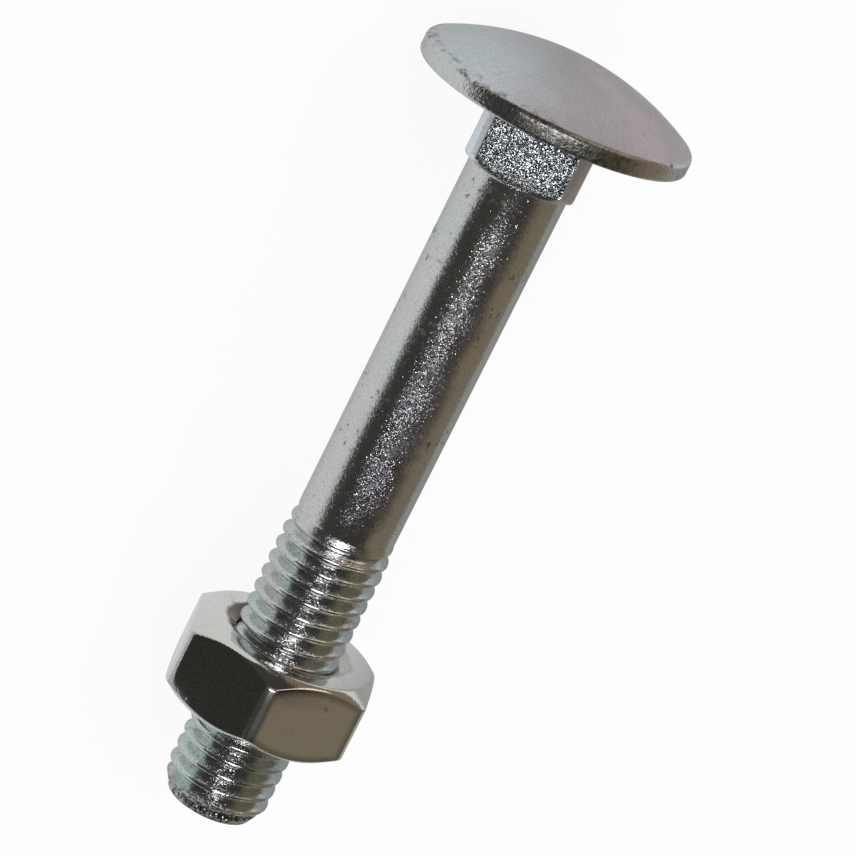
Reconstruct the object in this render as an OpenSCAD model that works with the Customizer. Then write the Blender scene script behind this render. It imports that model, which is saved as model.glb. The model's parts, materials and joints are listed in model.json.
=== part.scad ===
// Carriage bolt with its hex nut, lying on a flat surface.
// The bolt is first drawn along +Z from the face under its head, with its point at the far end,
// and is then laid down so that it rests on the rim of the head and on one flat of the nut.
// Sizes are in millimetres. The origin is the centre of the face under the head.

/* [Head] */
// Diameter over the rim of the domed head
head_d = 24.9; // [21:0.1:30]
// Height of the head above the face under it
head_h = 4.9; // [3.8:0.1:7]
// Height of the rim, from the face under it to where the dome would meet it
rim_h = 1.6; // [1.4:0.1:2.4]
// Rounding between the rim and the dome
rim_top_r = 0.7; // [0.3:0.05:0.8]
// Rounding between the rim and the face under the head
rim_under_r = 0.35; // [0.2:0.05:0.7]

/* [Square neck] */
// Width across the flats of the square neck
neck_w = 10.15; // [9.6:0.05:12]
// Length of the square neck below the head
neck_len = 6.35; // [4:0.05:9]
// Rounding of the four long corners of the neck
neck_corner_r = 1.2; // [0.4:0.05:2]
// Height of the chamfer that ends the neck
neck_chamfer_h = 0.9; // [0.4:0.05:1.4]
// Diameter of the chamfer at the neck's end
neck_end_d = 9.95; // [9.7:0.05:11]
// Turn of the neck's flats away from the flat that the nut rests on, in degrees
neck_turn = 35; // [0:1:89]

/* [Shank] */
// Length of the bolt below its head
bolt_len = 70.3; // [60:0.1:90]
// Diameter of the plain shank, which is thinner than the rolled thread
shank_d = 9.2; // [8.8:0.05:9.6]

/* [Thread] */
// Diameter over the crests of the thread
thread_d = 9.86; // [9.8:0.01:10.2]
// Distance from one crest to the next
pitch = 1.5; // [1.25:0.05:1.75]
// Height of a crest above its root
thread_depth = 0.92; // [0.6:0.01:1.1]
// Length of the thread from its first full crest to the end of the bolt
thread_len = 27; // [22:0.1:30]
// Length over which the thread fades into the plain shank
runout_len = 2.4; // [1:0.1:4]
// Diameter of the flat end of the bolt
point_d = 7.95; // [7:0.05:8.6]
// Slope of the chamfer at the end of the bolt, from its axis, in degrees
point_slope = 28; // [20:1:45]
// Turn of the thread about the axis, in degrees
thread_turn = 6; // [0:1:359]

/* [Nut] */
// Width of the nut across its flats
nut_w = 17; // [16:0.1:18]
// Width of the nut across its trimmed corners
nut_corner_d = 19.24; // [18.2:0.02:20.5]
// Height of the nut
nut_h = 7.7; // [6:0.1:9]
// Diameter of the flat ring on each face of the nut
nut_face_d = 16.1; // [14:0.1:16.4]
// Slope of the nut's end chamfers, from its faces, in degrees
nut_chamfer = 38; // [20:1:42]
// Diameter of the countersink at each mouth of the nut
nut_sink_d = 11.5; // [10.8:0.1:12.5]
// Slope of the countersinks, from the nut's faces, in degrees
nut_sink_slope = 30; // [20:1:50]
// Length of thread that stands out past the nut
nut_end_gap = 9.4; // [6:0.1:14]
// Radial gap between the nut and the crests that it slides past
nut_gap = 0.08; // [0.05:0.01:0.1]

/* [Hidden] */
$fn = 96;

// How far a cutting or trimming shape reaches past what it trims
over = 1;

zinc = [0.62, 0.65, 0.64];
zinc_dark = [0.52, 0.53, 0.52];

head_r = head_d/2;
// The dome is part of a ball that passes through the top of the rim and the crown of the head
dome_h = head_h - rim_h;
dome_r = (head_r*head_r + dome_h*dome_h)/(2*dome_h);
dome_z = dome_r - head_h;
// The rounding above the rim touches the rim and the ball from inside
round_r = head_r - rim_top_r;
round_z = dome_z - sqrt(pow(dome_r - rim_top_r, 2) - round_r*round_r);
dome_edge_r = round_r*dome_r/(dome_r - rim_top_r);

neck_corner_reach = (neck_w/2 - neck_corner_r)*sqrt(2) + neck_corner_r;

shank_r = shank_d/2;
crest_r = thread_d/2;
thread_start = bolt_len - thread_len - runout_len;
// Places of the corners of one ridge along the pitch, and how far below the crest each one lies
ridge_places = [0, 0.12, 0.41, 0.5, 0.59, 0.88];
ridge_falls = [0, 0.07, 0.93, 1, 0.93, 0.07];
ridge_corners = len(ridge_places);
thread_sides = 24;
// The thread begins just inside the shank's edge, so that the two solids share one flat face
thread_inset = 0.02;
// Corners of the ridge nearer than this to either end of the thread join the ring there
thread_snap = 0.1;
first_turn = -1;
last_turn = ceil((bolt_len - thread_start)/pitch);
corner_count = (last_turn - first_turn)*ridge_corners;

// Distance from the face under the head to the near face of the nut
nut_place = bolt_len - nut_end_gap - nut_h;
nut_flat_r = nut_w/2;
nut_corner_r = nut_corner_d/2;
nut_face_r = nut_face_d/2;
nut_bore_r = crest_r + nut_gap;
nut_chamfer_h = (nut_corner_r - nut_face_r)*tan(nut_chamfer);
nut_sink_h = (nut_sink_d/2 - nut_bore_r)*tan(nut_sink_slope);

// The bolt lies on the lower edge of its rim and on the far end of one flat of the nut
rest_z = nut_place + nut_h - (nut_flat_r - nut_face_r)*tan(nut_chamfer);
rest_run = rest_z + rim_under_r;
rest_rise = head_r - rim_under_r - nut_flat_r;
lie_tilt = asin(rim_under_r/norm([rest_run, rest_rise])) + atan2(rest_rise, rest_run);

// Turns a piece from its upright place along +Z to lie along +X, with its point end down
module lay_down() {
    rotate([0, 90 + lie_tilt, 0]) children();
}

// Half of the head's outline: the dome, the rim and its two roundings
module head_outline() {
    intersection() {
        translate([0, dome_z]) circle(r=dome_r, $fn=360);
        translate([0, -head_h]) square([dome_edge_r, head_h + round_z]);
    }
    translate([round_r, round_z]) circle(r=rim_top_r);
    translate([0, round_z]) square([head_r, -rim_under_r - round_z]);
    translate([head_r - rim_under_r, -rim_under_r]) circle(r=rim_under_r);
    translate([0, -rim_under_r]) square([head_r - rim_under_r, rim_under_r]);
}

module head() {
    rotate_extrude() head_outline();
}

// Square bar with round corners, its lower end trimmed by a cone
module neck() {
    inner = neck_w/2 - neck_corner_r;
    rotate([0, 0, neck_turn]) intersection() {
        linear_extrude(neck_len) {
            square([neck_w, 2*inner], center=true);
            square([2*inner, neck_w], center=true);
            for (x = [-inner, inner], y = [-inner, inner])
                translate([x, y]) circle(r=neck_corner_r);
        }
        union() {
            cylinder(r=neck_corner_reach + over, h=neck_len - neck_chamfer_h);
            translate([0, 0, neck_len - neck_chamfer_h])
                cylinder(r1=neck_corner_reach, r2=neck_end_d/2, h=neck_chamfer_h);
        }
    }
}

// Height of one corner of the ridge, on one side of the many-sided thread
function ridge_z(side, corner) =
    let (turn = floor(corner/ridge_corners))
    thread_start
        + (first_turn + turn + ridge_places[corner - turn*ridge_corners])*pitch
        + (side/thread_sides + thread_turn/360)*pitch;

// How much of its full shape the ridge has reached at height z
function ridge_growth(z) = max(0, min(1, (z - thread_start)/runout_len));

// Distance from the axis of one corner of the ridge at height z, cut back by the end chamfer
function ridge_r(z, corner) =
    let (full = crest_r - thread_depth*ridge_falls[corner % ridge_corners])
    let (grown = shank_r - thread_inset + (full - shank_r + thread_inset)*ridge_growth(z))
    min(grown, point_d/2 + (bolt_len - z)*tan(point_slope));

function around(r, side, z) =
    [r*cos(360*side/thread_sides), r*sin(360*side/thread_sides), z];

// Numbers of the corners: first the ring at the start, then the ring at the end, then the ridge
function corner_number(side, corner) =
    side >= thread_sides ? corner_number(side - thread_sides, corner + ridge_corners)
    : ridge_z(side, corner) < thread_start + thread_snap ? side
    : corner >= corner_count || ridge_z(side, corner) > bolt_len - thread_snap
        ? thread_sides + side
    : (2 + corner)*thread_sides + side;

// Right-hand thread as one closed many-sided solid, from the run-out to the end of the bolt
module thread() {
    sides = [0 : thread_sides - 1];
    corners = concat(
        [for (i = sides) around(shank_r - thread_inset, i, thread_start)],
        [for (i = sides) around(point_d/2, i, bolt_len)],
        [for (c = [0 : corner_count - 1], i = sides)
            let (z = ridge_z(i, c))
            around(ridge_r(z, c), i, z)]
    );
    skin = [for (c = [0 : corner_count - 1], i = sides)
        let (
            a = corner_number(i, c),
            b = corner_number(i + 1, c),
            d = corner_number(i, c + 1),
            e = corner_number(i + 1, c + 1)
        )
        each [[a, d, e], [a, e, b]]];
    solid_skin = [for (f = skin) if (f[0] != f[1] && f[1] != f[2] && f[2] != f[0]) f];
    start_face = [for (i = sides) i];
    end_face = [for (i = sides) 2*thread_sides - 1 - i];
    polyhedron(points=corners, faces=concat([start_face], [end_face], solid_skin), convexity=10);
}

module bolt() {
    color(zinc) lay_down() {
        head();
        neck();
        cylinder(d=shank_d, h=thread_start);
        thread();
    }
}

// Six-sided bar with both ends and all corners trimmed by a turned outline
module nut_block() {
    intersection() {
        rotate([0, 0, 30]) cylinder(r=nut_flat_r/cos(30), h=nut_h, $fn=6);
        rotate_extrude() polygon([
            [0, 0],
            [nut_face_r, 0],
            [nut_corner_r, nut_chamfer_h],
            [nut_corner_r, nut_h - nut_chamfer_h],
            [nut_face_r, nut_h],
            [0, nut_h]
        ]);
    }
}

// Hole through the nut with a countersink at each mouth
module nut_hole() {
    translate([0, 0, -over]) cylinder(r=nut_bore_r, h=nut_h + 2*over);
    cylinder(r1=nut_sink_d/2, r2=nut_bore_r, h=nut_sink_h);
    translate([0, 0, nut_h - nut_sink_h])
        cylinder(r1=nut_bore_r, r2=nut_sink_d/2, h=nut_sink_h);
}

module nut() {
    color(zinc_dark) lay_down() translate([0, 0, nut_place]) difference() {
        nut_block();
        nut_hole();
    }
}

bolt();
nut();
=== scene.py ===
"""Looks of a zinc-plated carriage bolt and its hex nut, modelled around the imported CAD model.

Both pieces are drawn upright along +Z from the face under the head, and are then laid down
along the joint's axis, as the CAD model is. All sizes are in metres.
"""

import json
import math

import bpy
from mathutils import Matrix, Vector


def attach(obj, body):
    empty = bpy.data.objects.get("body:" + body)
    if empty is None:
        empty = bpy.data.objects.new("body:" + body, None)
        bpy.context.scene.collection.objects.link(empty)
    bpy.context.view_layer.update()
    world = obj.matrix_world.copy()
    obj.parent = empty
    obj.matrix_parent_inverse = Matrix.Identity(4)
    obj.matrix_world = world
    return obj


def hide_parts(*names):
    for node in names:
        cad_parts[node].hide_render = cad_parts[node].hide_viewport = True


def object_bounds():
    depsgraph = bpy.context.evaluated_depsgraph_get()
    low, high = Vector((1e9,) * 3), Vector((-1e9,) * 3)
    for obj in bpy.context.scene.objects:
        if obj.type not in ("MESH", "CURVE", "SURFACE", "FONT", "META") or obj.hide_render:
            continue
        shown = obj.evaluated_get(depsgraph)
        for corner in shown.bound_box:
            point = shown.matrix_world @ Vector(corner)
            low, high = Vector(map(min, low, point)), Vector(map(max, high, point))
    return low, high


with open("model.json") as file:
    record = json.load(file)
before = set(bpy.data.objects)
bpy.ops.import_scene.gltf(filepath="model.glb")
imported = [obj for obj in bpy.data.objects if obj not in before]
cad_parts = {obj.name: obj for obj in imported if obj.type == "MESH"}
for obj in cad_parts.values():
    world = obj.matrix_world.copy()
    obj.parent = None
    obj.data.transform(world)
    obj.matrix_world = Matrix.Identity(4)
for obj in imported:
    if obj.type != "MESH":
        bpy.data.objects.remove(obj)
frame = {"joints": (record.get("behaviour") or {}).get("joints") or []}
cad_low, cad_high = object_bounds()

bl_info = {
    "name": "Carriage Bolt",
    "version": (1, 0, 0),
    "blender": (4, 5, 0),
    "location": "3D View > Sidebar > Carriage Bolt",
    "description": "Models a zinc-plated carriage bolt with its hex nut, and the studio around it",
    "category": "Object",
}

MM = 0.001
AXIS = Vector(frame["joints"][0]["axis"]).normalized()
LAY_TURN = math.atan2(AXIS.x, AXIS.z)
# Corners of every ring of both pieces, a whole number for each side of a square and of a hexagon
SIDES = 144
SHARP = math.radians(30)
MERGE = 1e-6


def length(name, description, default_mm):
    """A size that the user may change, given here in millimetres."""
    return bpy.props.FloatProperty(
        name=name, description=description, default=default_mm * MM,
        min=0, precision=5, unit="LENGTH",
    )


def angle(name, description, degrees):
    return bpy.props.FloatProperty(
        name=name, description=description, default=math.radians(degrees), unit="ROTATION",
    )


def colour(name, description, default):
    return bpy.props.FloatVectorProperty(
        name=name, description=description, default=default,
        size=3, min=0, max=1, subtype="COLOR",
    )


def power(name, description, default):
    return bpy.props.FloatProperty(
        name=name, description=description, default=default, min=0, unit="POWER",
    )


def share(name, description, default):
    return bpy.props.FloatProperty(
        name=name, description=description, default=default, min=0, max=1, subtype="FACTOR",
    )


class BoltSizes(bpy.types.PropertyGroup):
    """Sizes of the bolt"""

    head_width: length("Head width", "Diameter over the rim of the domed head", 24.9)
    head_height: length("Head height", "Height of the head above the face under it", 4.9)
    rim_height: length("Rim height", "Height of the rim up to where the dome would meet it", 1.6)
    rim_top_round: length("Rim top rounding", "Rounding between the rim and the dome", 0.7)
    rim_under_round: length("Rim under rounding", "Rounding below the rim", 0.35)
    neck_width: length("Neck width", "Width across the flats of the square neck", 10.15)
    neck_length: length("Neck length", "Length of the square neck below the head", 6.35)
    neck_corner: length("Neck corner", "Rounding of the neck's four long corners", 1.2)
    neck_chamfer: length("Neck chamfer", "Height of the chamfer at the neck's corners", 0.9)
    neck_end_width: length("Neck end width", "Diameter of the chamfer at the neck's end", 9.95)
    neck_fillet: length("Neck fillet", "Rounding between the head and the neck", 0.3)
    neck_shoulder: length("Neck shoulder", "Rounding where the neck's flats end", 0.3)
    neck_turn: angle("Neck turn", "Turn of the neck's flats about the bolt", 35)
    bolt_length: length("Length", "Length of the bolt below its head", 70.3)
    shank_width: length("Shank width", "Diameter of the plain shank", 9.2)
    thread_width: length("Thread width", "Diameter over the crests of the thread", 9.86)
    pitch: length("Pitch", "Distance from one crest to the next", 1.5)
    thread_depth: length("Thread depth", "Height of a crest above its root", 0.92)
    crest_round: length("Crest rounding", "Radius of the rolled crests", 0.28)
    crest_seam: length("Crest seam", "Depth of the fine seam that rolling leaves on the crests", 0.05)
    thread_length: length("Thread length", "Length of the full thread up to the end", 27)
    runout_length: length("Run-out length", "Length over which the thread fades out", 2.4)
    point_width: length("Point width", "Diameter of the flat end", 7.95)
    point_slope: angle("Point slope", "Slope of the end's chamfer from the axis", 28)
    point_edge: length("Point edge", "Rounding of the edge of the flat end", 0.06)
    thread_turn: angle("Thread turn", "Turn of the thread about the bolt", 6)


class NutSizes(bpy.types.PropertyGroup):
    """Sizes of the nut"""

    nut_width: length("Width", "Width of the nut across its flats", 17)
    corner_width: length("Corner width", "Width across the trimmed corners", 19.24)
    nut_height: length("Height", "Height of the nut", 7.7)
    face_width: length("Face width", "Diameter of the flat ring on each face", 16.1)
    chamfer_slope: angle("Chamfer slope", "Slope of the end chamfers from the faces", 38)
    sink_width: length("Countersink width", "Diameter of the countersink at each mouth", 11.5)
    sink_slope: angle("Countersink slope", "Slope of the countersinks from the faces", 30)
    sink_edge: length("Countersink edge", "Rounding of the countersinks' edges", 0.06)
    tapped_width: length("Tapped width", "Diameter inside the nut's own thread", 8.4)
    thread_gap: length("Thread gap", "Radial gap between the two threads", 0.07)
    edge_round: length("Edge rounding", "Width of the rounding of all outer edges", 0.18)
    nut_place: length("Place", "Distance from the head to the nut's near face", 53.2)


class FinishColours(bpy.types.PropertyGroup):
    """Colours of the zinc plate"""

    shank: colour("Shank", "Bright plate of the plain shank", (0.80, 0.815, 0.80))
    # Darker than the shank's plate: a satin plate, and partly painted shade for the shaded floor that
    # the dome reflects
    dome: colour("Dome", "Satin plate of the domed head", (0.535, 0.53, 0.54))
    # Painted reflection of the pale floor, laid on one side of the dome
    dome_pale_reflection: colour("Dome light", "Paler plate on one side of the dome", (0.79, 0.825, 0.87))
    dome_warm: colour("Dome warm", "Pink plate on the other side of the dome", (0.63, 0.557, 0.595))
    rim: colour("Rim", "Duller plate round most of the rim", (0.40, 0.375, 0.345))
    streak: colour("Streak", "Coarse plate along the top of the shank", (0.53, 0.515, 0.59))
    # Painted reflection of the brown surround, on one corner of the neck
    neck_brown_reflection: colour("Neck film", "Brown film on the neck's corner", (0.29, 0.22, 0.18))
    neck: colour("Neck", "Pitted plate of the square neck", (0.77, 0.82, 0.89))
    thread: colour("Thread", "Plate of the thread's crests", (0.75, 0.83, 0.81))
    valley: colour("Valley", "Greenish plate between the crests", (0.72, 0.82, 0.81))
    # Brightest plate on the thread's stripe towards the lamp, so that the lamp's glints render whiter:
    # partly painted highlight
    glint: colour("Glint", "Brightest plate, in the speckles of the thread", (0.93, 0.93, 0.94))
    nut: colour("Nut", "Plate of the nut", (0.90, 0.92, 0.885))
    cool: colour("Cool tint", "Greenish tint where the plate's film is thin", (0.67, 0.82, 0.78))
    warm: colour("Warm tint", "Pink tint where the plate's film is thick", (0.82, 0.68, 0.74))
    edge: colour("Edge", "Tint of the plate where it is seen at a slant", (0.75, 0.75, 0.75))
    # Dull grey of real stains, also laid as painted shade on one flat of the nut and as a painted dark
    # line along the dome's edge
    stain_and_shade: colour("Stain", "Dull grey of pits and stains", (0.18, 0.175, 0.165))
    # In the nut's mouths this brown is a film and partly painted shade of the thread in the countersinks
    film: colour("Film", "Brown film in the nut's countersinks", (0.125, 0.09, 0.078))


class StageSettings(bpy.types.PropertyGroup):
    """Floor, surround, lamp and camera"""

    floor_colour: colour("Floor", "Pale floor", (0.9, 0.9, 0.9))
    room_colour: colour("Room", "Dark side of the surround", (0.043, 0.040, 0.036))
    board_colour: colour("Board", "Brown side of the surround", (0.20, 0.162, 0.118))
    whiteness: share("Whiteness", "How far the floor is plain white to the camera", 0.9)
    near_floor: share("Near floor", "Brightness of the floor as the metal reflects it", 0.63)
    # Share of the floor's glow that the metal sees in the painted shadow past the bolt
    painted_shadow_share: share("Far floor", "Share of that brightness past the bolt", 0.56)
    surround: length("Surround", "Radius of the surround", 900)
    lamp_width: length("Lamp width", "Diameter of the lamp round the camera", 150)
    lamp_power: power("Lamp power", "Power of the lamp round the camera", 0.42)
    window_power: power("Window power", "Power of the warm window at the head's side", 0.42)
    view_angle: angle("View angle", "Angle of view of the camera", 11.9)


def start_clean():
    """Leaves edit mode with nothing selected."""
    if bpy.context.object and bpy.context.object.mode != "OBJECT":
        bpy.ops.object.mode_set(mode="OBJECT")
    bpy.ops.object.select_all(action="DESELECT")


def arc(centre, radius, start, end, steps):
    """Points on an arc in the outline's plane, angles in degrees from +X towards +Z."""
    return [
        (
            centre[0] + radius * math.cos(math.radians(start + (end - start) * k / steps)),
            centre[1] + radius * math.sin(math.radians(start + (end - start) * k / steps)),
        )
        for k in range(steps + 1)
    ]


def draw_outline(name, points):
    """Draws an open outline, (distance from the axis, height) by point, in the XZ plane."""
    start_clean()
    bpy.ops.mesh.primitive_plane_add(size=MM)
    piece = bpy.context.object
    piece.name = piece.data.name = name
    bpy.ops.object.mode_set(mode="EDIT")
    bpy.ops.mesh.select_all(action="SELECT")
    bpy.ops.mesh.merge(type="CENTER")
    bpy.ops.transform.translate(value=(points[0][0], 0, points[0][1]))
    for (r0, z0), (r1, z1) in zip(points, points[1:]):
        bpy.ops.mesh.extrude_vertices_move(
            TRANSFORM_OT_translate={"value": (r1 - r0, 0, z1 - z0)}
        )
    bpy.ops.object.mode_set(mode="OBJECT")
    return piece


def spin_outline(name, points):
    """Turns an outline about the Z axis into a skin."""
    piece = draw_outline(name, points)
    bpy.ops.object.mode_set(mode="EDIT")
    bpy.ops.mesh.select_all(action="SELECT")
    bpy.ops.mesh.spin(steps=SIDES, angle=math.tau, center=(0, 0, 0), axis=(0, 0, 1))
    bpy.ops.mesh.select_all(action="SELECT")
    bpy.ops.mesh.remove_doubles(threshold=MERGE)
    bpy.ops.object.mode_set(mode="OBJECT")
    return piece


def screw_outline(name, points, pitch, turns):
    """Screws an outline one pitch long about the Z axis into a right-hand thread."""
    piece = draw_outline(name, points)
    screw = piece.modifiers.new("turns", "SCREW")
    screw.axis = "Z"
    screw.angle = math.tau
    screw.screw_offset = pitch
    screw.iterations = turns
    screw.steps = screw.render_steps = SIDES
    bpy.ops.object.modifier_apply(modifier=screw.name)
    return piece


def direction_number(co):
    """Which of the rings' directions a vertex lies in."""
    return round(math.atan2(co.y, co.x) / math.tau * SIDES) % SIDES


def press_rings(piece, section, round_reach, reach_of, turn=0.0):
    """Presses the round rings of a turned piece to a form with another reach in each direction.

    section(reach) gives the outline in a direction, and reach_of(number) the point where that
    direction meets the form's side, in the plane across the axis.
    """
    level_of = {
        (round(r / MERGE), round(z / MERGE)): level
        for level, (r, z) in enumerate(section(round_reach))
    }
    first = round(turn / math.tau * SIDES)
    for vertex in piece.data.vertices:
        co = vertex.co
        level = level_of.get((round(math.hypot(co.x, co.y) / MERGE), round(co.z / MERGE)))
        if level is None:
            continue
        x, y = reach_of((direction_number(co) - first) % SIDES)
        bearing = math.atan2(y, x) + turn
        r, z = section(math.hypot(x, y))[level]
        vertex.co = (r * math.cos(bearing), r * math.sin(bearing), z)


def join_skins(name, *skins):
    """Joins open skins whose rings meet into one closed piece with its faces outwards."""
    start_clean()
    for skin in skins:
        skin.select_set(True)
    bpy.context.view_layer.objects.active = skins[0]
    bpy.ops.object.join()
    piece = bpy.context.object
    piece.name = piece.data.name = name
    bpy.ops.object.mode_set(mode="EDIT")
    bpy.ops.mesh.select_all(action="SELECT")
    bpy.ops.mesh.remove_doubles(threshold=MERGE)
    bpy.ops.mesh.normals_make_consistent(inside=False)
    bpy.ops.object.mode_set(mode="OBJECT")
    return piece


def lay_down(piece):
    """Turns a piece from upright to where the CAD model lies, in its mesh."""
    start_clean()
    piece.select_set(True)
    bpy.context.view_layer.objects.active = piece
    piece.rotation_euler = (0, LAY_TURN, 0)
    bpy.ops.object.transform_apply(location=True, rotation=True, scale=True)
    bpy.ops.object.shade_smooth_by_angle(angle=SHARP)


def head_outline(b):
    """The dome, the rim and its two roundings, from the crown to the face under the head."""
    head_r = b.head_width / 2
    dome_rise = b.head_height - b.rim_height
    ball_r = (head_r**2 + dome_rise**2) / (2 * dome_rise)
    ball_z = ball_r - b.head_height
    top_r = head_r - b.rim_top_round
    top_z = ball_z - math.sqrt((ball_r - b.rim_top_round) ** 2 - top_r**2)
    dome_end = math.degrees(math.atan2(top_z - ball_z, top_r))
    under = (head_r - b.rim_under_round, -b.rim_under_round)
    dome = arc((0, ball_z), ball_r, -90, dome_end, 30)
    dome[0] = (0, -b.head_height)
    return (
        dome[:-1]
        + arc((top_r, top_z), b.rim_top_round, dome_end, 0, 10)
        + arc(under, b.rim_under_round, 0, 90, 8)
        + [(b.neck_width, 0)]
    )


def neck_section(b, reach):
    """The neck's outline where its side lies at that reach, from the head to the shank."""
    end_r = b.neck_end_width / 2
    corner_reach = (b.neck_width / 2 - b.neck_corner) * math.sqrt(2) + b.neck_corner
    fall = b.neck_chamfer / (corner_reach - end_r)
    edge_z = b.neck_length - (reach - end_r) * fall
    edge = min(b.neck_shoulder, (reach - end_r) / 2)
    fillet = arc((reach + b.neck_fillet, b.neck_fillet), b.neck_fillet, 270, 180, 4)
    wall_end = edge_z - b.neck_shoulder
    # The last three points round the shoulder off, in shares of its reach and height
    return fillet + [
        (reach, (b.neck_fillet + wall_end) / 2),
        (reach, wall_end),
        (reach - edge * 0.1, edge_z - b.neck_shoulder * 0.45),
        (reach - edge * 0.45, edge_z - b.neck_shoulder * 0.1 + edge * 0.2 * fall),
        (reach - edge, edge_z + edge * fall),
    ]


def square_point(b, number):
    """Where a direction meets the neck's rounded square, for a ring of SIDES directions."""
    half = b.neck_width / 2
    inner = half - b.neck_corner
    quarter, step = divmod(number, SIDES // 4)
    straight = SIDES // 12
    if step > SIDES // 8:
        x, y = square_point(b, SIDES // 4 - step)
        x, y = y, x
    elif step <= straight:
        x, y = half, inner * step / straight
    else:
        bend = math.radians(45) * (step - straight) / (SIDES // 8 - straight)
        x, y = inner + b.neck_corner * math.cos(bend), inner + b.neck_corner * math.sin(bend)
    for _ in range(quarter):
        x, y = -y, x
    return x, y


def shank_outline(b):
    """From the neck's shoulder to the start of the thread."""
    end_r = b.neck_end_width / 2
    shank_r = b.shank_width / 2
    step = (end_r - shank_r) / 2
    start = b.bolt_length - b.thread_length - b.runout_length
    return (
        [(end_r, b.neck_length - step / 2), (end_r - step / 2, b.neck_length)]
        + arc((shank_r + step, b.neck_length + step), step, 270, 180, 4)
        + [
            (shank_r, b.neck_length + (start - b.neck_length) * k / 6)
            for k in range(1, 7)
        ]
    )


def ridge_outline(b, crest_r, start, root_limit=0.0):
    """One pitch of the thread from crest to crest: round crest, flanks at 60 degrees, round root."""
    crest = b.crest_round
    # Depth, crest and root roundings and pitch of such a thread hang together
    root = b.pitch * math.sqrt(3) / 2 - b.thread_depth - crest
    crest_end = crest * math.sin(math.radians(60))
    root_start = b.pitch / 2 - root * math.sin(math.radians(60))
    on_crest = [crest_end * share_of_crest for share_of_crest in (0.45, 0.75)]
    half = [
        (0, b.crest_seam),
        (crest_end * 0.18, b.crest_seam * 0.3),
        *((place, crest - math.sqrt(crest**2 - place**2)) for place in on_crest),
        (crest_end, crest / 2),
        ((crest_end + root_start) / 2, (crest / 2 + b.thread_depth - root / 2) / 2),
        (root_start, b.thread_depth - root / 2),
        (b.pitch / 2 - root * 0.45, b.thread_depth - root * 0.107),
        (b.pitch / 2, b.thread_depth),
    ]
    back = [(b.pitch - place, fall) for place, fall in half[-2::-1]]
    return [
        (max(crest_r - fall, root_limit), start + place) for place, fall in half + back
    ]


def crest_height(b, below):
    """Height of a crest in the +X direction, at least one pitch below a given height."""
    start = b.bolt_length - b.thread_length - b.runout_length
    lead = start + b.pitch * b.thread_turn / math.tau
    return lead + (math.floor((below - lead) / b.pitch) - 1) * b.pitch


def shape_thread(piece, low, high, radius_at):
    """Cuts a screwed skin off at two heights and gives each vertex its radius."""
    snap = 0.03 * MM
    for vertex in piece.data.vertices:
        co = vertex.co
        number = direction_number(co)
        bearing = number * math.tau / SIDES
        z = low if co.z < low + snap else high if co.z > high - snap else co.z
        r = radius_at(math.hypot(co.x, co.y), z)
        vertex.co = (r * math.cos(bearing), r * math.sin(bearing), z)


def bolt_thread(b):
    """The rolled thread, from its run-out to the chamfered point."""
    start = b.bolt_length - b.thread_length - b.runout_length
    first = crest_height(b, start)
    turns = math.ceil((b.bolt_length - first) / b.pitch) + 1
    outline = ridge_outline(b, b.thread_width / 2, first)
    thread = screw_outline("thread", outline, b.pitch, turns)
    shank_r = b.shank_width / 2
    end = b.bolt_length - b.point_edge
    end_r = b.point_width / 2 + b.point_edge * math.tan(b.point_slope)

    def radius_at(r, z):
        growth = min(1, max(0, (z - start) / b.runout_length))
        grown = shank_r + (r - shank_r) * growth
        return min(grown, end_r + (end - z) * math.tan(b.point_slope))

    shape_thread(thread, start, end, radius_at)
    return thread, end_r, end


def build_bolt(b):
    """The whole bolt as one closed skin."""
    round_reach = b.neck_width / 2
    neck = neck_section(b, round_reach)
    body = spin_outline("body", head_outline(b)[:-1] + neck + shank_outline(b))
    press_rings(
        body, lambda reach: neck_section(b, reach), round_reach,
        lambda number: square_point(b, number), b.neck_turn,
    )
    thread, end_r, end = bolt_thread(b)
    edge = b.point_edge
    point = spin_outline("point", [
        (end_r, end),
        (end_r - edge * 0.5, end + edge * 0.6),
        (end_r - edge * 1.5, end + edge * 0.95),
        (end_r - edge * 3, end + edge),
        (end_r * 0.6, end + edge),
        (end_r * 0.3, end + edge),
        (0, end + edge),
    ])
    return join_skins("bolt_skin", body, thread, point)


def hexagon_point(n, number):
    """Where a direction meets the nut's side, for a ring of SIDES directions."""
    flat_r = n.nut_width / 2
    corner_r = n.corner_width / 2
    half_flat = math.sqrt(corner_r**2 - flat_r**2)
    sector, step = divmod(number, SIDES // 6)
    corner_start = SIDES // 12 - 2
    if step > SIDES // 12:
        x, y = hexagon_point(n, SIDES // 6 - step)
        bearing = math.radians(60) - math.atan2(y, x)
        reach = math.hypot(x, y)
    elif step <= corner_start:
        bearing = math.atan2(half_flat * step / corner_start, flat_r)
        reach = flat_r / math.cos(bearing)
    else:
        edge = math.acos(flat_r / corner_r)
        bearing = edge + (math.radians(30) - edge) * (step - corner_start) / 2
        reach = corner_r
    bearing += sector * math.radians(60)
    return reach * math.cos(bearing), reach * math.sin(bearing)


def nut_section(n, reach):
    """The nut's outer outline where its side lies at that reach, from face to face."""
    low, high = n.nut_place, n.nut_place + n.nut_height
    face_r = n.face_width / 2
    drop = (reach - face_r) * math.tan(n.chamfer_slope)
    return [
        (face_r, low),
        (reach, low + drop),
        (reach, low + n.nut_height * 0.35),
        (reach, high - n.nut_height * 0.35),
        (reach, high - drop),
        (face_r, high),
    ]


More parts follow.
